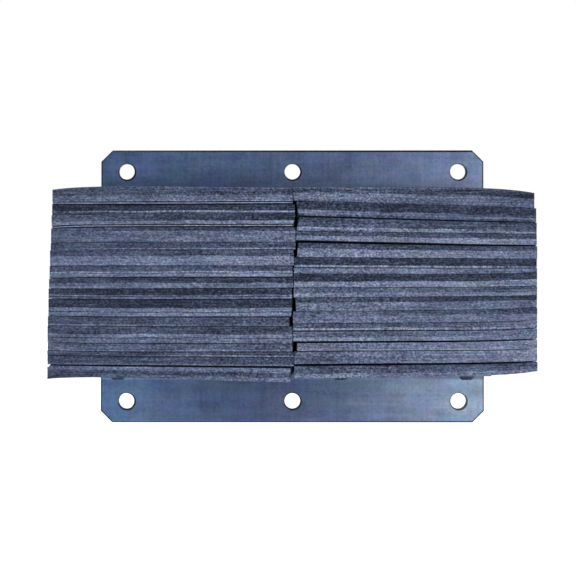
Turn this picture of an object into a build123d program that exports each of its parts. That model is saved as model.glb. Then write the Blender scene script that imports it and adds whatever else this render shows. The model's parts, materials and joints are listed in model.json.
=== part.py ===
"""Laminated rubber dock bumper: two stacks of tyre-carcass pads squeezed between two steel angles.

Frame: the wall is the plane y = 0 and the bumper stands out of it towards -Y. +Z is up, across the
laminations, and +X runs along them. The origin is the centre of the anchor-hole pattern on the wall.
Units are millimetres.
"""

from build123d import *
import math
import os
from collections import namedtuple

# Overall
PROJECTION = 114.0         # wall to the rubber face
HALF_LENGTH = 254.0        # middle of the bumper to the longest pad ends
CLAMP_HEIGHT = 184.0       # stack height squeezed between the two angles
INNER = CLAMP_HEIGHT / 2   # middle of the stack to the face of either angle

# Steel angles: equal legs, one flat on the wall and one standing out over the stack
LEG = 60.0
STEEL = 6.0
ROOT_RADIUS = 6.5
TOE_RADIUS = 2.0
ANGLE_LENGTH = 427.0
CORNER_CUT = 13.0          # 45 degree cut on the outer corners of the wall leg

# Anchor holes in the wall legs, three in each
ANCHOR_RADIUS = 8.75
ANCHOR_SPACING_X = 185.0
ANCHOR_SPACING_Z = 256.0

# Tie rods that carry the pads, two through each stack
ROD_RADIUS = 9.5
ROD_Y = -32.0
ROD_X = {"left_outer": -191.0, "left_inner": -53.0, "right_inner": 53.0, "right_outer": 191.0}
ROD_HOLE_STEEL = 9.8
ROD_HOLE_RUBBER = 10.3

# Weld over each rod end: a low cone on the standing leg, with a rounded top
WELD_BASE_RADIUS = 11.5
WELD_TOP_RADIUS = 7.5
WELD_HEIGHT = 6.0
WELD_ROUNDING = 2.0

# Pads
JOINT_GAP = 0.2            # left between neighbouring pads and beside the steel
MAX_SETBACK = 1.4          # how far the shallowest pads lie behind the rubber face
SETBACK_STEP = 2.4         # radians of the setback's wave from one pad to the next
SEAM_AT_WALL = 3.0         # where the two stacks meet behind the face, right of the middle
OPENING_DEPTH = 8.0        # how deep behind a pad's face an open joint reaches
OPENING_TAPER = (1.0, 0.7, 0.45)    # share of it at the middle, at the shoulder and at the end
SHOULDER = 0.8             # share of a pad's length where its end starts to droop
DROOP = 8                  # power of the droop
CURVE_STEPS = (0, 0.2, 0.4, 0.6, 0.75, 0.86, 0.94, 1)    # points on a pad's long edges
SIDE = {"left": -1, "right": 1}

# Top of each stack at the face: by the middle of the bumper, at the shoulder and at the outer end
STACK_TOP = {"left": (100.4, 101.8, 98.6), "right": (101.6, 100.2, 95.1)}

# One pad: its free thickness by the middle, at the shoulder and at the outer end, how far its inner
# and outer ends are cut short at the face, and how far the joint below it opens there. The pads are
# cut from used carcasses, so no two are alike. Both lists run from the top pad down.
Pad = namedtuple("Pad", "thick inner_cut outer_cut opening")
STACKS = {
    "left": [
        Pad((16.4, 18.4, 14.8), -0.5, 4.8, 1.1),
        Pad((10.6, 10.6, 11.7), -2.8, 4.4, 0.2),
        Pad((13.4, 13.0, 13.7), -3.6, 4.0, 1.4),
        Pad((15.7, 15.9, 15.4), -3.4, 3.4, 0.2),
        Pad((7.9, 7.8, 7.5), -3.4, 3.0, 0.3),
        Pad((16.8, 16.4, 16.2), -1.6, 2.5, 0.2),
        Pad((12.0, 12.3, 13.0), -0.2, 1.9, 1.1),
        Pad((11.2, 11.9, 10.5), -0.9, 1.5, 0.5),
        Pad((11.5, 10.9, 10.5), 0.3, 1.1, 0.7),
        Pad((18.6, 18.2, 17.8), -0.1, 0.8, 1.0),
        Pad((9.8, 9.4, 10.0), 3.4, 0.5, 0.5),
        Pad((18.3, 17.9, 17.5), -0.2, 0.0, 0.8),
        Pad((8.2, 8.7, 8.2), -0.2, 0.3, 0.6),
        Pad((5.8, 4.5, 5.5), -1.4, 0.0, 0.7),
        Pad((10.2, 10.0, 9.8), -1.5, 0.0, 2.0),
        Pad((15.7, 12.4, 14.6), 2.0, 0.0, 0.2),
    ],
    "right": [
        Pad((14.3, 18.8, 16.1), 0.9, 2.6, 0.2),
        Pad((16.3, 16.0, 14.4), 4.0, 0.8, 1.8),
        Pad((15.4, 12.4, 12.5), 4.0, 0.4, 0.2),
        Pad((10.9, 12.3, 11.7), 3.9, 0.2, 3.0),
        Pad((16.3, 13.8, 13.6), 4.9, 0.0, 0.2),
        Pad((10.5, 10.1, 9.6), 2.0, 0.3, 0.7),
        Pad((6.8, 5.9, 4.2), 1.4, 0.0, 0.2),
        Pad((14.3, 13.3, 14.1), 1.4, 0.2, 0.2),
        Pad((10.5, 9.9, 10.1), 1.4, 0.0, 0.2),
        Pad((14.2, 13.4, 12.3), 3.2, 0.4, 0.3),
        Pad((12.7, 13.0, 13.5), 0.6, 0.2, 0.3),
        Pad((7.8, 8.6, 8.2), 0.7, 0.0, 1.2),
        Pad((11.6, 11.1, 11.0), 0.7, 0.3, 2.2),
        Pad((9.4, 9.7, 10.1), 5.0, 0.0, 0.9),
        Pad((14.4, 13.5, 13.3), 2.0, 0.2, 2.6),
        Pad((13.9, 12.9, 10.4), 1.9, 0.0, 0.2),
    ],
}
SPLIT_RUN = 7.5            # length of the torn upper corner of the lowest left pad
SPLIT_DROP = 2.8


def angle_bar():
    """The upper angle: one leg up the wall, the other standing out over the stack, and its holes."""
    outline = Polyline(
        (0, INNER), (0, INNER + LEG), (-STEEL, INNER + LEG), (-STEEL, INNER + STEEL),
        (-LEG, INNER + STEEL), (-LEG, INNER), close=True,
    )
    profile = make_face(outline)
    for corner, radius in (
        ((-STEEL, INNER + STEEL), ROOT_RADIUS),
        ((-STEEL, INNER + LEG), TOE_RADIUS),
        ((-LEG, INNER + STEEL), TOE_RADIUS),
    ):
        profile = fillet(profile.vertices().sort_by_distance(corner)[0], radius)
    bar = extrude(Plane.YZ * profile, amount=ANGLE_LENGTH / 2, both=True)
    diagonal = CORNER_CUT * math.sqrt(2)
    for side in (-1, 1):
        corner = Pos(side * ANGLE_LENGTH / 2, 0, INNER + LEG)
        bar -= corner * Rot(0, 45, 0) * Box(diagonal, 4 * STEEL, diagonal)
    for column in (-1, 0, 1):
        place = Pos(column * ANCHOR_SPACING_X, 0, ANCHOR_SPACING_Z / 2)
        bar -= place * Rot(90, 0, 0) * Cylinder(ANCHOR_RADIUS, 4 * STEEL)
    for x in ROD_X.values():
        bar -= Pos(x, ROD_Y, INNER) * Cylinder(ROD_HOLE_STEEL, 4 * STEEL)
    return bar


def tie_rod(x):
    """A plain round rod, as long as the stack and both standing legs."""
    return Pos(x, ROD_Y, 0) * Cylinder(ROD_RADIUS, CLAMP_HEIGHT + 2 * STEEL)


def weld_cap(x):
    """The weld over a rod's upper end: a blunt cone on the standing leg."""
    cone = Cone(WELD_BASE_RADIUS, WELD_TOP_RADIUS, WELD_HEIGHT)
    top_edge = cone.edges().filter_by(GeomType.CIRCLE).sort_by(Axis.Z)[-1]
    return Pos(x, ROD_Y, INNER + STEEL + WELD_HEIGHT / 2) * fillet(top_edge, WELD_ROUNDING)


def joint_heights(side):
    """Heights of a stack's joints from the top down, each at the middle, the shoulder and the outer
    end: first at the free face, then where the angles clamp the stack."""
    free = [STACK_TOP[side]]
    for pad in STACKS[side]:
        free.append(tuple(above - thick for above, thick in zip(free[-1], pad.thick)))
    squeeze = [CLAMP_HEIGHT / (top - bottom) for top, bottom in zip(free[0], free[-1])]
    clamped = [
        tuple(INNER - (top - z) * factor for top, z, factor in zip(free[0], joint, squeeze))
        for joint in free
    ]
    return free, clamped


def between(at_face, at_clamp, y):
    """A measure at one depth, from its values at the free face and where the angles clamp."""
    share = (y + PROJECTION) / (PROJECTION - LEG)
    return at_face + (at_clamp - at_face) * share


def joint_curve(heights, along):
    """Height of a joint at a share of the pad's length, through its three given heights."""
    middle, shoulder, end = heights
    droop = SHOULDER**DROOP
    slope = (shoulder - middle - droop * (end - middle)) / (SHOULDER - droop)
    return middle + slope * along + (end - middle - slope) * along**DROOP


def pad_outline(side, y, reach, lower, upper):
    """A pad's outline at one depth, between two long edges that droop towards the outer end."""

    def edge(heights):
        return Spline([
            (SIDE[side] * (reach[0] + (reach[1] - reach[0]) * along), y, joint_curve(heights, along))
            for along in CURVE_STEPS
        ])

    low, high = edge(lower), edge(upper)
    return make_face([low, Line(low @ 1, high @ 1), high, Line(high @ 0, low @ 0)])


def opened(heights, opening):
    """A joint's heights, moved up or, for a negative opening, down by half of what it opens."""
    reach = (max(abs(opening) * share, JOINT_GAP) / 2 for share in OPENING_TAPER)
    return tuple(z + math.copysign(half, opening) for z, half in zip(heights, reach))


def pad_solid(side, index):
    """One pad: even where it is clamped, and swelling to its free thickness at the face."""
    pad = STACKS[side][index]
    free, clamped = joint_heights(side)
    outer = HALF_LENGTH - pad.outer_cut
    seam = SIDE[side] * SEAM_AT_WALL + JOINT_GAP / 2
    opening_above = STACKS[side][index - 1].opening if index else JOINT_GAP
    face = MAX_SETBACK * (0.5 + 0.5 * math.sin(SETBACK_STEP * index + SIDE[side])) - PROJECTION

    def outline(y, above=JOINT_GAP, below=JOINT_GAP):
        within = min(y, -LEG)
        inner = between(pad.inner_cut, seam, within)
        upper, lower = (
            tuple(between(loose, tight, within) for loose, tight in zip(free[joint], clamped[joint]))
            for joint in (index, index + 1)
        )
        return pad_outline(side, y, (inner, outer), opened(lower, below), opened(upper, -above))

    solid = loft(
        [
            outline(-JOINT_GAP),
            outline(-LEG),
            outline(face + OPENING_DEPTH),
            outline(face, opening_above, pad.opening),
        ],
        ruled=True,
    )
    for name, x in ROD_X.items():
        if name.startswith(side):
            solid -= Pos(x, ROD_Y, 0) * Cylinder(ROD_HOLE_RUBBER, 2 * CLAMP_HEIGHT)
    return solid


def torn_corner():
    """The wedge missing from the upper outer corner of the lowest left pad, through its depth."""
    free, _ = joint_heights("left")
    top = free[-2][2]
    wedge = Polyline(
        (-HALF_LENGTH - 1, top + SPLIT_DROP), (-HALF_LENGTH - 1, top - SPLIT_DROP),
        (-HALF_LENGTH + SPLIT_RUN, top + 1), close=True,
    )
    return extrude(Plane.XZ * make_face(wedge), amount=2 * PROJECTION, both=True)


def export_both_ends(shape, name):
    """Write a piece of the upper end and its mirror image at the lower end."""
    export_step(shape, f"parts/upper_{name}.step")
    export_step(mirror(shape, about=Plane.XY), f"parts/lower_{name}.step")


def main():
    os.makedirs("parts", exist_ok=True)
    export_both_ends(angle_bar(), "angle")
    export_both_ends(Compound([weld_cap(x) for x in ROD_X.values()]), "rod_welds")
    for name, x in ROD_X.items():
        export_step(tie_rod(x), f"parts/{name}_rod.step")
    for side, stack in STACKS.items():
        for index in range(len(stack)):
            solid = pad_solid(side, index)
            if side == "left" and index == len(stack) - 1:
                solid -= torn_corner()
            export_step(solid, f"parts/{side}_pad_{index + 1:02d}.step")


main()
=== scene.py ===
"""The looks of a laminated rubber dock bumper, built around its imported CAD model.

The 32 pads are rebuilt as sawn slices of tyre carcass with their plies, splits and rod holes, and the
welds as rippled pools over the rod ends. The angles and rods keep their CAD shape and get rolled-steel
materials. Everything is in metres, in the frame of the CAD model: the wall is y = 0, +Z is up and the
rubber face looks towards -Y.
"""

import json
import math

import bpy
import numpy as np
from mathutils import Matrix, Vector


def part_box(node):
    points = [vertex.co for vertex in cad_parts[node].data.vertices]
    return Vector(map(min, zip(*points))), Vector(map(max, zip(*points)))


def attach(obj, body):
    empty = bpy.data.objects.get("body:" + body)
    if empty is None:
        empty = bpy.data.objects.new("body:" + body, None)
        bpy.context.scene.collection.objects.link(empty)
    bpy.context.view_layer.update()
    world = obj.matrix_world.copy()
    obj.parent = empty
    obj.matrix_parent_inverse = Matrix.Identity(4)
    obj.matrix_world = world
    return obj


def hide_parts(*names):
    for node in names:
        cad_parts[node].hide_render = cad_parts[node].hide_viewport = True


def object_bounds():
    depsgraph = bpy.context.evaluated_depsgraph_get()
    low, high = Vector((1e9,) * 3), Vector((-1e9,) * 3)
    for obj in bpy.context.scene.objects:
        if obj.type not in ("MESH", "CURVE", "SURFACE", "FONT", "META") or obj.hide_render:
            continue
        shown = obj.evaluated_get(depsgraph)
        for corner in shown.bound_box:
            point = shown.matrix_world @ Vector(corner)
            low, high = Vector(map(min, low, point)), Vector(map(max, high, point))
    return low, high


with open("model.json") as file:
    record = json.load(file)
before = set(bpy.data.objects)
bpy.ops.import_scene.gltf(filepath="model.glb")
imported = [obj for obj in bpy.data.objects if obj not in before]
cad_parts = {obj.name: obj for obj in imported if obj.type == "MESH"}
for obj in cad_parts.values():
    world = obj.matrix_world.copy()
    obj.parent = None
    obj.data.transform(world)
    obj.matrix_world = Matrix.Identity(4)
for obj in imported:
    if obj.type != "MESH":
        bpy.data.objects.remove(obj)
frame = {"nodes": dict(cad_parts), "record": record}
CAD_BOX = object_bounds()
NODES = frame["nodes"]
MM = 0.001

# ---------------------------------------------------------------- plies of the pads
# A pad's face shows its plies from top to bottom: (thickness in mm, tone at the middle of the bumper,
# tone at its outer end). Tone 0 is black, painted into the splits as their shade, and the lightest is a
# rim's painted highlight.
DARK, DIM, MID, LIGHT, BRIGHT = 0.27, 0.40, 0.51, 0.62, 0.71
RIM_HIGHLIGHT = 0.79                 # a painted highlight on the rim of a pad, beside a joint
CORD = 1.0                 # a ply of bare cord, as light as a rim and seen as a row of cut ends
SPLIT = -1.0               # not a ply: the two plies beside it have come apart, and the back of the opening is painted black as its shade

PLIES = {
    "left": [
        [(1.0, LIGHT, MID), (7.2, DIM, DIM), (5.2, LIGHT, MID), (1.0, BRIGHT, LIGHT),
         (0.8, SPLIT, SPLIT), (1.2, RIM_HIGHLIGHT, RIM_HIGHLIGHT)],
        [(6.6, DARK, DARK), (1.8, CORD, MID), (2.2, DIM, DIM)],
        [(6.8, DARK, MID), (3.8, BRIGHT, LIGHT), (0.9, SPLIT, SPLIT), (1.2, RIM_HIGHLIGHT, RIM_HIGHLIGHT)],
        [(3.6, DIM, DIM), (11.6, LIGHT, MID)],
        [(6.2, DIM, DIM), (1.5, CORD, LIGHT)],
        [(6.8, DIM, DIM), (9.8, BRIGHT, LIGHT)],
        [(5.8, DIM, DIM), (1.2, CORD, BRIGHT), (1.2, MID, MID), (3.2, BRIGHT, LIGHT)],
        [(5.6, DARK, DIM), (5.6, LIGHT, LIGHT)],
        [(7.0, DARK, DARK), (1.2, LIGHT, LIGHT), (0.9, DARK, DARK), (2.0, LIGHT, MID)],
        [(9.0, DARK, DARK), (3.8, BRIGHT, LIGHT), (1.0, DIM, DIM), (4.0, BRIGHT, LIGHT)],
        [(7.6, DIM, DIM), (1.4, LIGHT, LIGHT)],
        [(8.2, DIM, DIM), (3.4, BRIGHT, LIGHT), (0.8, DARK, DARK), (5.0, LIGHT, MID)],
        [(6.4, MID, MID), (1.4, BRIGHT, BRIGHT)],
        [(3.6, DIM, MID), (1.6, BRIGHT, DIM)],
        [(7.4, DIM, DIM), (1.6, LIGHT, MID)],
        [(5.0, LIGHT, MID), (5.2, DIM, DIM), (4.4, LIGHT, DIM)],
    ],
    "right": [
        [(1.6, MID, DIM), (4.4, DIM, DARK), (8.3, LIGHT, MID)],
        [(9.4, DARK, DARK), (2.4, LIGHT, DIM), (1.8, LIGHT, LIGHT), (2.2, MID, DIM)],
        [(7.2, DIM, DIM), (3.0, DIM, DIM), (1.8, CORD, MID), (2.8, LIGHT, BRIGHT)],
        [(4.6, DIM, DIM), (5.4, BRIGHT, BRIGHT)],
        [(6.0, DIM, DIM), (9.2, BRIGHT, LIGHT)],
        [(7.8, DARK, DARK), (2.1, CORD, LIGHT)],
        [(6.4, LIGHT, LIGHT)],
        [(7.8, DARK, DARK), (6.2, BRIGHT, BRIGHT)],
        [(5.8, MID, MID), (4.8, BRIGHT, BRIGHT)],
        [(5.4, DIM, DARK), (8.4, LIGHT, LIGHT)],
        [(5.2, MID, DIM), (6.8, LIGHT, LIGHT)],
        [(5.0, DIM, LIGHT), (2.4, CORD, BRIGHT)],
        [(1.2, LIGHT, LIGHT), (5.6, MID, LIGHT), (4.6, BRIGHT, BRIGHT)],
        [(8.0, LIGHT, BRIGHT), (1.2, RIM_HIGHLIGHT, RIM_HIGHLIGHT)],
        [(5.2, LIGHT, BRIGHT), (6.8, MID, BRIGHT), (1.6, LIGHT, BRIGHT)],
        [(7.8, DIM, MID), (5.0, LIGHT, BRIGHT)],
    ],
}

# ---------------------------------------------------------------- shape of the pads, in mm
STATION = 1.3              # spacing of the cross-sections along a pad
ROW = 0.8                  # largest spacing of the rows across a ply
PLY_EDGE = 0.12            # half the width of the step between two plies
ROUNDED = 0.35             # rounding of a pad's long edges
SPLIT_DEPTH = 3.0
PLY_WANDER = 0.5           # how far a ply wanders up and down along the pad
DEPTHS = (0.0, 0.3, 0.8, 2.0, 4.5, 9.0, 16.0, 26.0, 40.0, 54.0, 70.0, 88.0, 100.0)
LAST_DEPTH = 6.0           # the last of these that a pad uses is at least this far from its back
SAMPLES = 90               # places along a pad where its CAD solid is measured
END_MARGIN = 0.002         # share of a pad's length that the outermost places stay clear of its ends
FAR = 200.0                # further out than any pad, where a measuring ray starts
ON_PLANE = 0.05            # a vertex this near a plane lies on it
INSIDE = 0.05              # how far inside the CAD face the rays run
OPENING_DEPTH = 8.0        # how deep behind a pad's face an open joint reaches
CUT_DEPTH = 25.0           # how deep the pads' rough cut ends reach
LAP = 0.12                 # how far the ends close the gap between the two stacks behind that
CUT_REACH = 6.0            # how far from a pad's end the marks of the cut fade out along it
RELIEF_DEPTH = 12.0        # how deep behind a pad's face its roughness fades out
FIBRE_RELIEF, CRUMB_RELIEF, SAW_RELIEF, HOLLOW_RELIEF = 0.30, 0.35, 0.22, 0.35    # their depths
SAW_PITCH = 1.6            # saw marks along a pad, in radians per mm
SAW_LEANS = (-1.1, 1.4)    # and across it, where every other pad leans the other way
HOLE_RADIUS = 10.3         # punched rod holes
JOINT_WALL_SHADE = 0.15           # the moulded top and bottom of a pad, painted dark as the shade in the open joints between pads

# A ply's tone turns from its inner one to its outer one, slowly at first.
TURN_START, TURN_SLOPE, TURN_POWER = -0.1, 1.15, 1.5

# Pads whose inner end is cut aslant: how far it is cut back at the pad's top and at its bottom.
SLANTS = {
    "left_pad_03": (0.0, 3.4),
    "left_pad_10": (0.0, 1.4),
    "right_pad_02": (0.0, 3.0),
    "right_pad_03": (3.8, 0.0),
    "right_pad_05": (1.5, 0.0),
    "right_pad_10": (0.0, 0.8),
}


NOISE_CELLS = 64           # the random values repeat after this many cells
NOISE_SHIFT = (17.3, 5.1)  # where the plane's origin lies among the cells


def value_noise(a, b, cell_a, cell_b, seed):
    """Smooth random values from 0 to 1 over a plane, with cells of the given two sizes."""
    grid = np.random.default_rng(seed).random((NOISE_CELLS, NOISE_CELLS))
    u, v = np.asarray(a) / cell_a + NOISE_SHIFT[0], np.asarray(b) / cell_b + NOISE_SHIFT[1]
    i, j = np.floor(u).astype(int), np.floor(v).astype(int)
    s, t = u - i, v - j
    s, t = s * s * (3 - 2 * s), t * t * (3 - 2 * t)
    i, j, i_next, j_next = (cell % NOISE_CELLS for cell in (i, j, i + 1, j + 1))
    near = grid[i, j] * (1 - s) + grid[i_next, j] * s
    far = grid[i, j_next] * (1 - s) + grid[i_next, j_next] * s
    return near * (1 - t) + far * t


def mesh_points(node):
    """A CAD node's vertices, in mm."""
    mesh = NODES[node].data
    points = np.empty(len(mesh.vertices) * 3)
    mesh.vertices.foreach_get("co", points)
    return points.reshape(-1, 3) / MM


class Section:
    """A pad's CAD outline at one depth: the reach of its two ends, and its bottom and top along it."""

    def __init__(self, node, points, y, sign):
        reach = sign * points[abs(points[:, 1] - y) < ON_PLANE][:, 0]
        self.inner, self.outer = sign * reach.min(), sign * reach.max()
        self.y = y
        self.shares = np.clip(np.linspace(0, 1, SAMPLES), END_MARGIN, 1 - END_MARGIN)
        self.bottom, self.top = [], []
        for share in self.shares:
            x = self.inner + (self.outer - self.inner) * share
            for start, heights in ((-FAR, self.bottom), (FAR, self.top)):
                towards = Vector((0, 0, -start))
                _, point, _, _ = NODES[node].ray_cast(Vector((x, y + INSIDE, start)) * MM, towards)
                heights.append(point.z / MM)

    def at(self, share):
        """The outline's x, bottom and top at shares of its length from the inner end."""
        x = self.inner + (self.outer - self.inner) * share
        bottom = np.interp(share, self.shares, self.bottom)
        return np.stack([x, bottom, np.interp(share, self.shares, self.top)])


def pad_sections(node, sign):
    """A pad's CAD outline at its face, behind its open joints and at the clamp, and its back's y."""
    points = mesh_points(node)
    face_y, back_y = points[:, 1].min(), points[:, 1].max()
    clamp_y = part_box("upper_angle")[0].y / MM
    levels = (face_y, face_y + OPENING_DEPTH, clamp_y)
    return [Section(node, points, level, sign) for level in levels], back_y


def between_sections(front, back, share, y):
    """x, bottom and top partway between two sections, and held beyond them."""
    blend = np.clip((y - front.y) / (back.y - front.y), 0, 1)
    return front.at(share) * (1 - blend) + back.at(share) * blend


def ply_rows(plies):
    """Rows down a pad's face: arrays of place (0 at the top, 1 at the bottom), the tones at both
    ends, how bare the cord is, and how far the row is opened by a split."""
    total = sum(thick for thick, _, _ in plies)
    rows = []
    at = 0.0
    for number, (thick, inner, outer) in enumerate(plies):
        start = at + (PLY_EDGE if number else 0.0)
        end = at + thick - (PLY_EDGE if number < len(plies) - 1 else 0.0)
        count = max(2, math.ceil((end - start) / ROW) + 1)
        split = inner == SPLIT
        cord = 1.0 if inner == CORD else 0.0
        # the back of a split is painted black as the shade in it; every other tone stops at the rim's
        # painted highlight
        tones = (0.0, 0.0) if split else (min(inner, RIM_HIGHLIGHT), min(outer, RIM_HIGHLIGHT))
        for place in np.linspace(start, end, count):
            rows.append((place / total, *tones, cord, float(split)))
        at += thick
    first, last = list(rows[0]), list(rows[-1])
    first[0] = ROUNDED / total
    last[0] = 1 - ROUNDED / total
    rows = [rows[0], tuple(first)] + rows[1:-1] + [tuple(last), rows[-1]]
    return np.array(sorted(rows, key=lambda row: row[0])).T


def lattice_shell(nx, nv, nw):
    """The surface of an nx by nv by nw lattice: which points it has, and its quads."""
    index = -np.ones((nx, nv, nw), int)
    shell = np.zeros((nx, nv, nw), bool)
    for axis in range(3):
        side = [slice(None)] * 3
        for end in (0, -1):
            side[axis] = end
            shell[tuple(side)] = True
    index[shell] = np.arange(shell.sum())
    quads = []
    for axis in range(3):
        for end in (0, -1):
            side = [slice(None)] * 3
            side[axis] = end
            grid = index[tuple(side)]
            corners = [grid[:-1, :-1], grid[1:, :-1], grid[1:, 1:], grid[:-1, 1:]]
            if (end == 0) == (axis != 1):
                corners.reverse()
            quads.append(np.stack(corners, -1).reshape(-1, 4))
    return np.nonzero(shell), np.concatenate(quads)


def face_relief(x, down, seed):
    """How far the sawn rubber lies behind the pad's face, in mm: torn fibres, saw marks, hollows."""
    fibres = value_noise(x, down, 3.5, 0.9, seed)
    crumbs = value_noise(x, down, 1.7, 1.3, seed + 1)
    patches = value_noise(x, down, 30.0, 14.0, seed + 2)
    saw = 0.5 + 0.5 * np.sin(SAW_PITCH * x + SAW_LEANS[seed % 2] * down + 5 * patches)
    torn = FIBRE_RELIEF * fibres + CRUMB_RELIEF * crumbs
    return torn + SAW_RELIEF * saw * patches + HOLLOW_RELIEF * (1 - patches)


def end_relief(node, along, down, mm_down, depth, softened, seed):
    """How far a pad's ends lie inside its CAD ends, in mm: they are cut across with a knife, so they
    are rough too, and never quite square."""
    lean = value_noise(depth, down * 10, 45.0, 4.0, seed + 7)
    knife = value_noise(depth, mm_down, 3.0, 0.8, seed + 8)
    cut = np.clip(1 - depth / CUT_DEPTH, 0, 1)
    inner_end = along < 0.5
    inward = (0.15 * lean + 0.20 * knife + softened) * cut
    inward -= LAP * (1 - cut) * inner_end
    inward += np.interp(down, (0, 1), SLANTS.get(node, (0, 0))) * cut * inner_end
    return inward


def add_attribute(mesh, name, values):
    attribute = mesh.attributes.new(name, "FLOAT", "POINT")
    attribute.data.foreach_set("value", values.astype(np.float32))


def pad_mesh(side, number):
    """One pad as a closed mesh, with its tone and cord attributes."""
    node = f"{side}_pad_{number + 1:02d}"
    seed = 100 * (side == "right") + 3 * number + 11
    sign = -1 if side == "left" else 1
    (face, lip, clamp), back_y = pad_sections(node, sign)
    length = abs(face.outer - face.inner)
    full_depth = back_y - face.y

    place, inner_tone, outer_tone, cord, split = ply_rows(PLIES[side][number])
    depths = np.array([d for d in DEPTHS if d < full_depth - LAST_DEPTH] + [full_depth])
    stations = np.linspace(0, 1, math.ceil(length / STATION) + 1)
    (i, j, k), quads = lattice_shell(len(stations), len(place), len(depths))
    if sign < 0:
        quads = quads[:, ::-1]

    # Like the CAD pad, it is ruled between its sections, and even from the clamp to the wall.
    along, down, depth = stations[i], place[j], depths[k]
    x, bottom, top = np.where(
        depth < OPENING_DEPTH,
        between_sections(face, lip, along, face.y + depth),
        between_sections(lip, clamp, along, face.y + depth),
    )
    mm_down = down * (top - bottom)
    wander = value_noise(x, depth, 24.0, 60.0, seed + 5) - 0.5
    z = top - mm_down + 2 * PLY_WANDER * wander * np.sin(math.pi * down)

    # The face is rough and lies a little behind the CAD face; the rest follows it inwards.
    long_edge = (j == 0) | (j == len(place) - 1)
    rounded = ROUNDED * long_edge
    opened = SPLIT_DEPTH * split[j] * (0.55 + 0.45 * value_noise(x, x * 0, 40.0, 1.0, seed + 6))
    inwards = face_relief(x, mm_down + 40 * number, seed) + rounded + opened
    y = np.minimum(face.y + depth + inwards * np.clip(1 - depth / RELIEF_DEPTH, 0, 1), back_y)
    inward = end_relief(node, along, down, mm_down, depth, 0.5 * rounded + 0.4 * opened, seed)
    from_end = np.minimum(along, 1 - along) * length
    x = x + np.where(along < 0.5, sign, -sign) * inward * np.clip(1 - from_end / CUT_REACH, 0, 1)

    mesh = bpy.data.meshes.new(f"{node}_rubber")
    mesh.from_pydata(np.stack([x, y, z], -1) * MM, [], quads.tolist())
    turned = np.clip(along * TURN_SLOPE + TURN_START, 0, 1) ** TURN_POWER
    tone = inner_tone[j] + (outer_tone[j] - inner_tone[j]) * turned
    # The top and bottom of a pad are painted dark, as the shade inside the joints between pads.
    joint_walls = long_edge & (depth > 0)
    add_attribute(mesh, "tone", np.where(joint_walls, JOINT_WALL_SHADE, tone))
    add_attribute(mesh, "cord", np.where(joint_walls, 0, cord[j]))
    mesh.update()
    return node, mesh


def round_bar(x, y, radius, low, high, segments=40):
    """A closed cylinder along Z, as a cutter. All sizes in mm."""
    turns = [2 * math.pi * n / segments for n in range(segments)]
    ring = [(x + radius * math.cos(t), y + radius * math.sin(t)) for t in turns]
    points = [(px * MM, py * MM, z * MM) for z in (low, high) for px, py in ring]
    pairs = [(n, (n + 1) % segments) for n in range(segments)]
    sides = [(n, beside, segments + beside, segments + n) for n, beside in pairs]
    caps = [tuple(reversed(range(segments))), tuple(range(segments, 2 * segments))]
    mesh = bpy.data.meshes.new("cutter")
    mesh.from_pydata(points, [], sides + caps)
    return mesh


def add_object(name, mesh, material):
    piece = bpy.data.objects.new(name, mesh)
    bpy.context.scene.collection.objects.link(piece)
    piece.data.materials.append(material)
    return piece


def punch_rod_holes(piece, side):
    """Cut the two rod holes of a stack through one of its pads."""
    for name in (f"{side}_inner_rod", f"{side}_outer_rod"):
        low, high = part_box(name)
        centre = (low + high) / 2 / MM
        cutter = bpy.data.objects.new("cutter", round_bar(centre.x, centre.y, HOLE_RADIUS, -FAR, FAR))
        bpy.context.scene.collection.objects.link(cutter)
        cut = piece.modifiers.new("hole", "BOOLEAN")
        cut.operation = "DIFFERENCE"
        cut.solver = "MANIFOLD"
        cut.object = cutter
        bpy.context.view_layer.update()
        graph = bpy.context.evaluated_depsgraph_get()
        cut_mesh = bpy.data.meshes.new_from_object(piece.evaluated_get(graph))
        piece.modifiers.clear()
        piece.data = cut_mesh
        bpy.data.objects.remove(cutter)


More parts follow.
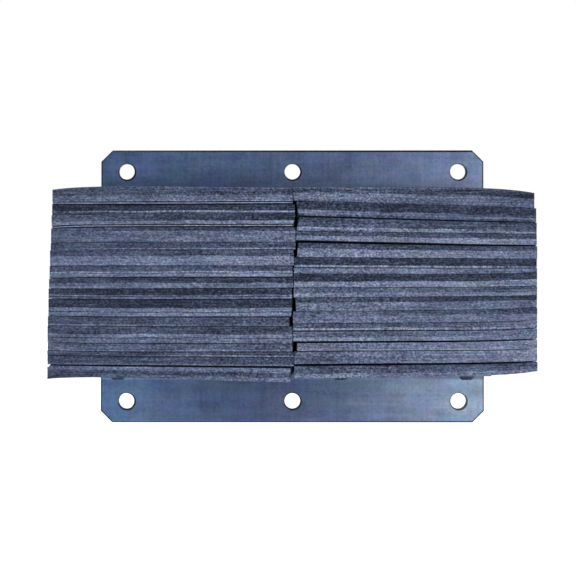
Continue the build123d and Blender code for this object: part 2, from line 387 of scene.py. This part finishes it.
# ---------------------------------------------------------------- node helpers
class Nodes:
    """A material's node tree, with short calls to add and join nodes."""

    def __init__(self, name):
        self.material = bpy.data.materials.new(name)
        self.material.use_nodes = True
        self.tree = self.material.node_tree
        self.shader = self.tree.nodes["Principled BSDF"]

    def add(self, kind, inputs=None, **settings):
        node = self.tree.nodes.new(kind)
        for key, value in settings.items():
            setattr(node, key, value)
        for key, value in (inputs or {}).items():
            if isinstance(value, bpy.types.NodeSocket):
                self.tree.links.new(value, node.inputs[key])
            else:
                node.inputs[key].default_value = value
        return node

    def math(self, operation, a, b=0.0, clamp=False):
        return self.add("ShaderNodeMath", {0: a, 1: b}, operation=operation, use_clamp=clamp).outputs[0]

    def mix(self, factor, a, b, blend="MIX"):
        node = self.add("ShaderNodeMix", data_type="RGBA", blend_type=blend)
        for socket, value in ((node.inputs[0], factor), (node.inputs[6], a), (node.inputs[7], b)):
            if isinstance(value, bpy.types.NodeSocket):
                self.tree.links.new(value, socket)
            else:
                socket.default_value = value
        return node.outputs[2]

    def stretched(self, scale, shift, lean):
        """Object coordinates, leaned over about the Y axis and then stretched."""
        coords = self.add("ShaderNodeTexCoord").outputs["Object"]
        if lean:
            coords = self.add("ShaderNodeMapping", {0: coords, "Rotation": (0, lean, 0)}).outputs[0]
        return self.add("ShaderNodeMapping", {0: coords, "Scale": scale, "Location": shift}).outputs[0]

    def noise(self, scale, detail=4.0, roughness=0.6, shift=(0, 0, 0), lean=0.0):
        """Noise from 0 to 1, with a scale for each axis, in cells per metre."""
        vector = self.stretched(scale, shift, lean)
        inputs = {"Vector": vector, "Scale": 1.0, "Detail": detail, "Roughness": roughness}
        return self.add("ShaderNodeTexNoise", inputs).outputs["Fac"]

    def ramp(self, factor, stops):
        node = self.add("ShaderNodeValToRGB", {0: factor})
        elements = node.color_ramp.elements
        while len(elements) < len(stops):
            elements.new(0.5)
        for element, (place, colour) in zip(elements, stops):
            element.position = place
            element.color = (*colour, 1)
        return node.outputs[0]

    def grey_ramp(self, factor, stops):
        """A number that follows stops of (place, number)."""
        top = max(value for _, value in stops)
        shades = self.ramp(factor, [(place, (value / top,) * 3) for place, value in stops])
        return self.math("MULTIPLY", shades, top)

    def bump(self, height, distance, strength=1.0, normal=None):
        inputs = {"Height": height, "Distance": distance, "Strength": strength}
        if normal is not None:
            inputs["Normal"] = normal
        return self.add("ShaderNodeBump", inputs).outputs[0]

    def finish(self, **sockets):
        for name, value in sockets.items():
            socket = self.shader.inputs[name.replace("_", " ")]
            if isinstance(value, bpy.types.NodeSocket):
                self.tree.links.new(value, socket)
            else:
                socket.default_value = value
        return self.material


# ---------------------------------------------------------------- materials
def tinted(n, colour, scale, strength):
    """A colour that drifts between green and violet, and between blue and grey."""
    for shift, cool, warm in (
        ((2, 9, 6), (-1.0, 0.5, 0.0), (1.0, -0.5, 0.1)),
        ((8, 3, 4), (-0.2, 0.0, 1.0), (0.3, 0.0, -1.0)),
    ):
        stops = [
            (place, tuple(1 + strength * channel for channel in shade))
            for place, shade in ((0.3, cool), (0.7, warm))
        ]
        colour = n.mix(1.0, colour, n.ramp(n.noise(scale, 3, 0.6, shift), stops), "MULTIPLY")
    return colour


# How crumbly the sawn rubber is along the bumper, from its left end to its right: (share, crumbs).
CRUMBLY = [(0.0, 0.75), (0.3, 0.95), (0.5, 1.15), (0.64, 1.25), (0.82, 0.85), (1.0, 0.9)]
SMOOTH_RIM_HIGHLIGHT = [(BRIGHT, 1.0), (RIM_HIGHLIGHT, 0.6)]     # a rim's painted highlight has fewer crumbs: (tone, crumbs)
CRUMBS_SHARE = 1.15        # how strongly the crumbs show where they are neither more nor fewer


def crumbliness(n, tone):
    """How strongly the crumbs show: it changes along the bumper, and is less on a rim's painted
    highlight.
    """
    low, high = CAD_BOX
    place = n.add("ShaderNodeSeparateXYZ", {0: n.add("ShaderNodeTexCoord").outputs["Object"]})
    share = n.math("MULTIPLY", n.math("SUBTRACT", place.outputs["X"], low[0]), 1 / (high[0] - low[0]))
    crumbly = n.math("MULTIPLY", n.grey_ramp(share, CRUMBLY), n.grey_ramp(tone, SMOOTH_RIM_HIGHLIGHT))
    return n.math("MULTIPLY", crumbly, CRUMBS_SHARE)


def rubber_material():
    """Sawn tyre rubber: the tone of each ply, with painted highlights on rims and painted shade in splits
    and joints, broken up by crumbs, cut cord ends and scuffs.
    """
    n = Nodes("sawn_tyre_rubber")
    tone = n.add("ShaderNodeAttribute", attribute_name="tone").outputs["Fac"]
    cord = n.add("ShaderNodeAttribute", attribute_name="cord").outputs["Fac"]
    crumbs = n.noise((430, 430, 560), 2, 0.7)
    strokes = n.noise((900, 260, 260), 1, 0.5, (3, 1, 2), lean=0.9)
    fibres = n.noise((160, 160, 1100), 3, 0.6, (3, 1, 2))
    streaks = n.noise((22, 22, 800), 3, 0.65, (6, 2, 8))
    patches = n.noise((24, 24, 90), 3, 0.5, (7, 5, 1))
    cord_ends = n.noise((450, 450, 60), 1, 0.5, (1, 8, 4))

    grit = n.math("MULTIPLY", n.math("SUBTRACT", crumbs, 0.5), crumbliness(n, tone))
    value = n.math("ADD", tone, grit)
    for texture, share in ((fibres, 0.55), (streaks, 0.65), (patches, 0.35)):
        value = n.math("ADD", value, n.math("MULTIPLY", n.math("SUBTRACT", texture, 0.5), share))
    for texture, share, where in ((strokes, 0.6, tone), (cord_ends, 0.9, cord)):
        marks = n.math("MULTIPLY", n.math("SUBTRACT", texture, 0.5), n.math("MULTIPLY", where, share))
        value = n.math("ADD", value, marks)
    value = n.math("ADD", value, 0.0, clamp=True)
    colour = n.ramp(value, [
        (0.0, (0.001, 0.002, 0.005)),
        (0.23, (0.007, 0.011, 0.024)),
        (0.49, (0.036, 0.048, 0.086)),
        (0.65, (0.069, 0.086, 0.142)),
        (0.82, (0.117, 0.142, 0.215)),
        (1.0, (0.200, 0.232, 0.320)),
    ])
    colour = tinted(n, colour, (32, 32, 180), 0.09)
    normal = n.bump(crumbs, 0.0007, 0.8)
    normal = n.bump(fibres, 0.0006, 0.6, normal)
    rough = n.math("ADD", n.math("MULTIPLY", fibres, 0.2), 0.72)
    return n.finish(Base_Color=colour, Roughness=rough, Normal=normal, Specular_IOR_Level=0.15)


HOLE_SHADE_RIM = 0.0013          # width of the painted shade round each anchor hole
HOLE_SHADE_SHIFT = 0.0006         # the painted shade is thicker low down on the right
CUT_EDGE = 0.0013          # width of the dark line along the sheared ends and corners
ROLLED_EDGE = {"upper_angle": 0.0022, "lower_angle": 0.0013}    # and along the toe of the wall leg

# Shade of the mill scale along each angle, from its left end to its right, with a painted sheen that
# brightens the upper angle towards its right end and the lower angle towards both ends: (share, colour).
MILL_SCALE_AND_SHEEN = {
    "upper_angle": [
        (0.0, (0.064, 0.110, 0.225)),
        (0.45, (0.070, 0.106, 0.205)),
        (0.75, (0.082, 0.112, 0.210)),
        (1.0, (0.096, 0.126, 0.230)),
    ],
    "lower_angle": [
        (0.0, (0.066, 0.120, 0.230)),
        (0.35, (0.037, 0.056, 0.118)),
        (0.5, (0.040, 0.060, 0.122)),
        (0.8, (0.062, 0.089, 0.146)),
        (1.0, (0.073, 0.102, 0.153)),
    ],
}

# The upper angle gets painted shade towards its root, beside the pads: (share of its height, how much of
# its colour is left).
ROOT_SHADE = [(0.18, (0.60, 0.60, 0.60)), (0.55, (1.0, 1.0, 1.0))]
DARK_EDGE_AND_HOLE_SHADE = (0.13, 0.12, 0.11, 1)     # how much of the colour is left on the dark edges and in the painted shade of the anchor holes


def hole_bore_shade(n, place, up):
    """1 on the walls and rims of an angle's anchor holes, where shade is painted, else 0."""
    # Every anchor hole is a whole number of pitches from the middle one.
    mounts = {mount["name"]: mount for mount in frame["record"]["mounts"]}
    dims = mounts["anchor_corners"]["dims"]
    pitch_x, pitch_z = dims["spacing_x_mm"] * MM / 2, dims["spacing_y_mm"] * MM
    across = n.math("WRAP", n.math("SUBTRACT", place.outputs["X"], HOLE_SHADE_SHIFT), -pitch_x / 2)
    across.node.inputs[2].default_value = pitch_x / 2
    above = n.math("SUBTRACT", place.outputs["Z"], up * pitch_z / 2 - HOLE_SHADE_SHIFT)
    squares = n.math("ADD", n.math("MULTIPLY", across, across), n.math("MULTIPLY", above, above))
    return n.math("LESS_THAN", n.math("SQRT", squares), dims["hole_r_mm"] * MM + HOLE_SHADE_RIM)


def dark_edges(n, node, place):
    """1 on an angle's sheared ends and corners and its toe, and on the walls and rims of its holes where
    shade is painted, else 0.
    """
    low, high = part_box(node)
    points = mesh_points(node) * MM
    corner_reach = (abs(points[:, 0]) + abs(points[:, 2])).max()
    height = n.math("ABSOLUTE", place.outputs["Z"])
    side = n.math("ABSOLUTE", place.outputs["X"])
    end = n.math("GREATER_THAN", side, high.x - CUT_EDGE)
    corner = n.math("GREATER_THAN", n.math("ADD", side, height), corner_reach - CUT_EDGE * math.sqrt(2))
    toe = n.math("GREATER_THAN", height, max(high.z, -low.z) - ROLLED_EDGE[node])
    # the anchor holes' walls and rims get painted shade
    lip = hole_bore_shade(n, place, 1 if high.z > 0 else -1)
    return n.math("MAXIMUM", n.math("MAXIMUM", end, corner), n.math("MAXIMUM", toe, lip))


def rolled_steel(n, shade, roughness):
    """Mill scale over a shade: faint streaks and clouds, brushed marks across and dull stains."""
    clouds = n.noise((9, 9, 22), 3, 0.55)
    streaks = n.noise((10, 60, 150), 4, 0.6, (4, 4, 4))
    brushed = n.noise((330, 60, 14), 3, 0.6, (2, 2, 2))
    specks = n.noise((420, 420, 420), 2, 0.6)
    stains = n.noise((45, 45, 45), 4, 0.65, (8, 3, 1))
    shares = ((clouds, 0.45), (streaks, 0.4), (brushed, 0.25), (specks, 0.4), (stains, 0.5))
    value = 0.0
    for texture, share in shares:
        value = n.math("ADD", value, n.math("MULTIPLY", n.math("SUBTRACT", texture, 0.5), share))
    mottle = n.ramp(n.math("ADD", value, 0.5), [
        (0.3, (0.66, 0.64, 0.70)),
        (0.5, (1.0, 1.0, 1.0)),
        (0.7, (1.36, 1.38, 1.30)),
    ])
    colour = tinted(n, n.mix(1.0, shade, mottle, "MULTIPLY"), (28, 28, 50), 0.12)
    normal = n.bump(specks, 0.0002, 0.3)
    normal = n.bump(clouds, 0.002, 0.15, normal)
    wear = n.math("ADD", n.math("MULTIPLY", stains, 0.06), n.math("MULTIPLY", brushed, 0.05))
    return colour, n.math("ADD", wear, roughness), normal


def angle_material(node):
    """An angle's mill scale, changing along it with a painted sheen, with dark sheared edges and painted
    shade in and round its anchor holes; the upper angle also gets painted shade towards its root.
    """
    n = Nodes(f"{node}_steel")
    low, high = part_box(node)
    place = n.add("ShaderNodeSeparateXYZ", {0: n.add("ShaderNodeTexCoord").outputs["Object"]})
    share = n.math("MULTIPLY", n.math("SUBTRACT", place.outputs["X"], low.x), 1 / (high.x - low.x))
    # the mill scale's shade along the angle, with a painted sheen towards its ends
    shade = n.ramp(share, MILL_SCALE_AND_SHEEN[node])
    if node == "upper_angle":
        # painted shade on the upper angle towards its root, beside the pads
        above = n.math("MULTIPLY", n.math("SUBTRACT", place.outputs["Z"], low.z), 1 / (high.z - low.z))
        shade = n.mix(1.0, shade, n.ramp(above, ROOT_SHADE), "MULTIPLY")
    colour, rough, normal = rolled_steel(n, shade, 0.26)
    # dark edges, and painted shade in and round the anchor holes
    dark_edge_and_hole_shade = n.mix(1.0, colour, DARK_EDGE_AND_HOLE_SHADE, "MULTIPLY")
    colour = n.mix(dark_edges(n, node, place), colour, dark_edge_and_hole_shade)
    return n.finish(Base_Color=colour, Metallic=0.75, Roughness=rough, Normal=normal)


def rod_material():
    """Plain drawn bar, which the pads and welds hide."""
    n = Nodes("drawn_bar")
    colour, rough, normal = rolled_steel(n, (0.14, 0.15, 0.18, 1), 0.25)
    return n.finish(Base_Color=colour, Metallic=0.85, Roughness=rough, Normal=normal)


def weld_material():
    """Dark, dull weld metal."""
    n = Nodes("weld_metal")
    grain = n.noise((700, 700, 700), 4, 0.6)
    colour = n.ramp(grain, [(0.3, (0.001, 0.003, 0.012)), (0.7, (0.008, 0.018, 0.055))])
    normal = n.bump(grain, 0.0004, 0.5)
    return n.finish(Base_Color=colour, Roughness=0.6, Normal=normal, Specular_IOR_Level=0.2)


def floor_material():
    n = Nodes("pale_floor")
    colour = n.ramp(n.noise((3, 3, 3), 2, 0.5), [(0.3, (0.9, 0.9, 0.9)), (0.7, (0.93, 0.93, 0.93))])
    return n.finish(Base_Color=colour, Roughness=0.8, Emission_Color=(1, 1, 1, 1), Emission_Strength=0.95)


# ---------------------------------------------------------------- pieces
def build_pads():
    rubber = rubber_material()
    for side, stack in PLIES.items():
        for number in range(len(stack)):
            node, mesh = pad_mesh(side, number)
            pad = add_object(f"{node}_sawn", mesh, rubber)
            punch_rod_holes(pad, side)
            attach(pad, "root")
            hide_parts(node)


# A weld is a rippled pool over a rod's end, built of rings from its rim to its middle. Sizes in mm.
POOL_TURNS = 96            # points round it
POOL_RINGS = 14
POOL_RADIUS = 10.4
POOL_HEIGHT = 5.2
POOL_ROOT = 0.3            # how deep its rim is sunk into the leg
POOL_DIP = 0.8             # how far its middle sinks
POOL_RIPPLES = 13
RIPPLE_TWIST = 0.8         # how far a ripple turns on its way to the middle, in ripples
RIPPLE_HEIGHT = 0.5
LUMP_PLACE, LUMP_CELL = 5.0, 1.6    # the circle and the cells that its lumps are drawn from
UNEVEN = 0.12              # share of its radius by which its rim wanders
CROWN_REACH, CROWN_POWER = 1.7, 1.3    # how soon and how fully it rises from its rim


def weld_pool(x, y, base, up, seed):
    """The points and faces of one closed weld pool on a leg's face at the height base."""
    points = []
    for ring in range(POOL_RINGS):
        share = ring / POOL_RINGS
        crown = math.sin(math.pi / 2 * min(1, CROWN_REACH * share)) ** CROWN_POWER
        halfway = 4 * share * (1 - share)
        for turn in range(POOL_TURNS):
            angle = 2 * math.pi * turn / POOL_TURNS
            across, along = math.cos(angle), math.sin(angle)
            lumps = value_noise(LUMP_PLACE * across, LUMP_PLACE * along, LUMP_CELL, LUMP_CELL, seed)
            lumps = float(lumps) - 0.5
            ripple = (turn * POOL_RIPPLES / POOL_TURNS + RIPPLE_TWIST * share) % 1.0
            radius = POOL_RADIUS * (1 - share) * (1 + UNEVEN * lumps * (1 - share))
            rise = POOL_HEIGHT - POOL_DIP * share**3 + (RIPPLE_HEIGHT * ripple + lumps) * halfway
            height = base + up * (rise * crown - POOL_ROOT)
            points.append((x + radius * across, y + radius * along, height))
    points.append((x, y, base + up * (POOL_HEIGHT - POOL_DIP - POOL_ROOT)))

    faces = [list(range(POOL_TURNS))[::-1]]
    for ring in range(POOL_RINGS):
        for turn in range(POOL_TURNS):
            here = ring * POOL_TURNS + turn
            beside = ring * POOL_TURNS + (turn + 1) % POOL_TURNS
            inside = [beside + POOL_TURNS, here + POOL_TURNS]
            if ring == POOL_RINGS - 1:
                inside = [len(points) - 1]
            faces.append([here, beside] + inside)
    return points, [face if up > 0 else face[::-1] for face in faces]


def build_welds():
    """Rippled pools of weld over the rod ends, four on each angle."""
    weld = weld_material()
    rods = [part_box(name) for name in sorted(NODES) if name.endswith("_rod")]
    for node, up in (("upper_rod_welds", 1), ("lower_rod_welds", -1)):
        points, faces = [], []
        for seed, (low, high) in enumerate(rods):
            centre = (low + high) / 2 / MM
            base = (high.z if up > 0 else low.z) / MM
            pool, pool_faces = weld_pool(centre.x, centre.y, base, up, seed)
            faces += [[index + len(points) for index in face] for face in pool_faces]
            points += pool
        mesh = bpy.data.meshes.new(f"{node}_pools")
        mesh.from_pydata([Vector(point) * MM for point in points], [], faces)
        mesh.shade_smooth()
        pools = add_object(f"{node}_pools", mesh, weld)
        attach(pools, "root")
        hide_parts(node)


def dress_steel():
    """Give the angles and rods, which keep their CAD shape, their finishes."""
    bar = rod_material()
    for name, node in NODES.items():
        if name.endswith("_angle") or name.endswith("_rod"):
            node.data.materials.clear()
            node.data.materials.append(angle_material(name) if name in MILL_SCALE_AND_SHEEN else bar)


# ---------------------------------------------------------------- stage, lights and camera
CAMERA_DISTANCE = 1.506    # from the wall plane
CAMERA_DROP = 0.025        # the camera stands a little below the bumper's middle
LENS = 84.0                # focal length and, below, sensor width, in mm
SENSOR = 36.0
AIM = Vector((-0.0048, 0.0, -0.002))
FLOOR_DROP = 0.22          # floor below the bumper's lowest edge
FLOOR_SIZE = 60
AMBIENT, BACKDROP = 0.26, 1.0    # the studio's strength as light on the bumper, and as seen behind it


def build_stage():
    floor_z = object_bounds()[0][2] - FLOOR_DROP
    bpy.ops.mesh.primitive_plane_add(size=FLOOR_SIZE, location=(0, 0, floor_z))
    floor = bpy.context.object
    floor.name = "floor"
    floor.data.materials.append(floor_material())


def area_light(name, place, size, power, colour=(1, 1, 1)):
    light = bpy.data.lights.new(name, "AREA")
    light.shape = "RECTANGLE"
    light.size, light.size_y = size
    light.energy = power
    light.color = colour
    lamp = bpy.data.objects.new(name, light)
    bpy.context.scene.collection.objects.link(lamp)
    lamp.location = place
    lamp.rotation_euler = (-Vector(place)).to_track_quat("-Z", "Y").to_euler()


def build_lights():
    area_light("key", (-0.75, -1.5, 1.5), (0.9, 0.9), 34)
    area_light("right_softbox", (0.75, -1.5, -0.12), (0.7, 0.7), 16, (1.0, 0.96, 0.89))
    world = bpy.data.worlds.new("studio")
    world.use_nodes = True
    tree = world.node_tree
    background = tree.nodes["Background"]
    path = tree.nodes.new("ShaderNodeLightPath")
    mix = tree.nodes.new("ShaderNodeMix")
    mix.inputs[2].default_value = AMBIENT
    mix.inputs[3].default_value = BACKDROP
    tree.links.new(path.outputs["Is Camera Ray"], mix.inputs[0])
    tree.links.new(mix.outputs[0], background.inputs["Strength"])
    background.inputs["Color"].default_value = (1, 1, 1, 1)
    bpy.context.scene.world = world


def build_camera():
    camera = bpy.data.objects.new("camera", bpy.data.cameras.new("camera"))
    bpy.context.scene.collection.objects.link(camera)
    camera.data.lens = LENS
    camera.data.sensor_width = SENSOR
    camera.location = (0, -CAMERA_DISTANCE, -CAMERA_DROP)
    camera.rotation_euler = (AIM - camera.location).to_track_quat("-Z", "Y").to_euler()
    bpy.context.scene.camera = camera
    bpy.context.scene.view_settings.view_transform = "Standard"


build_pads()
build_welds()
dress_steel()
build_stage()
build_lights()
build_camera()
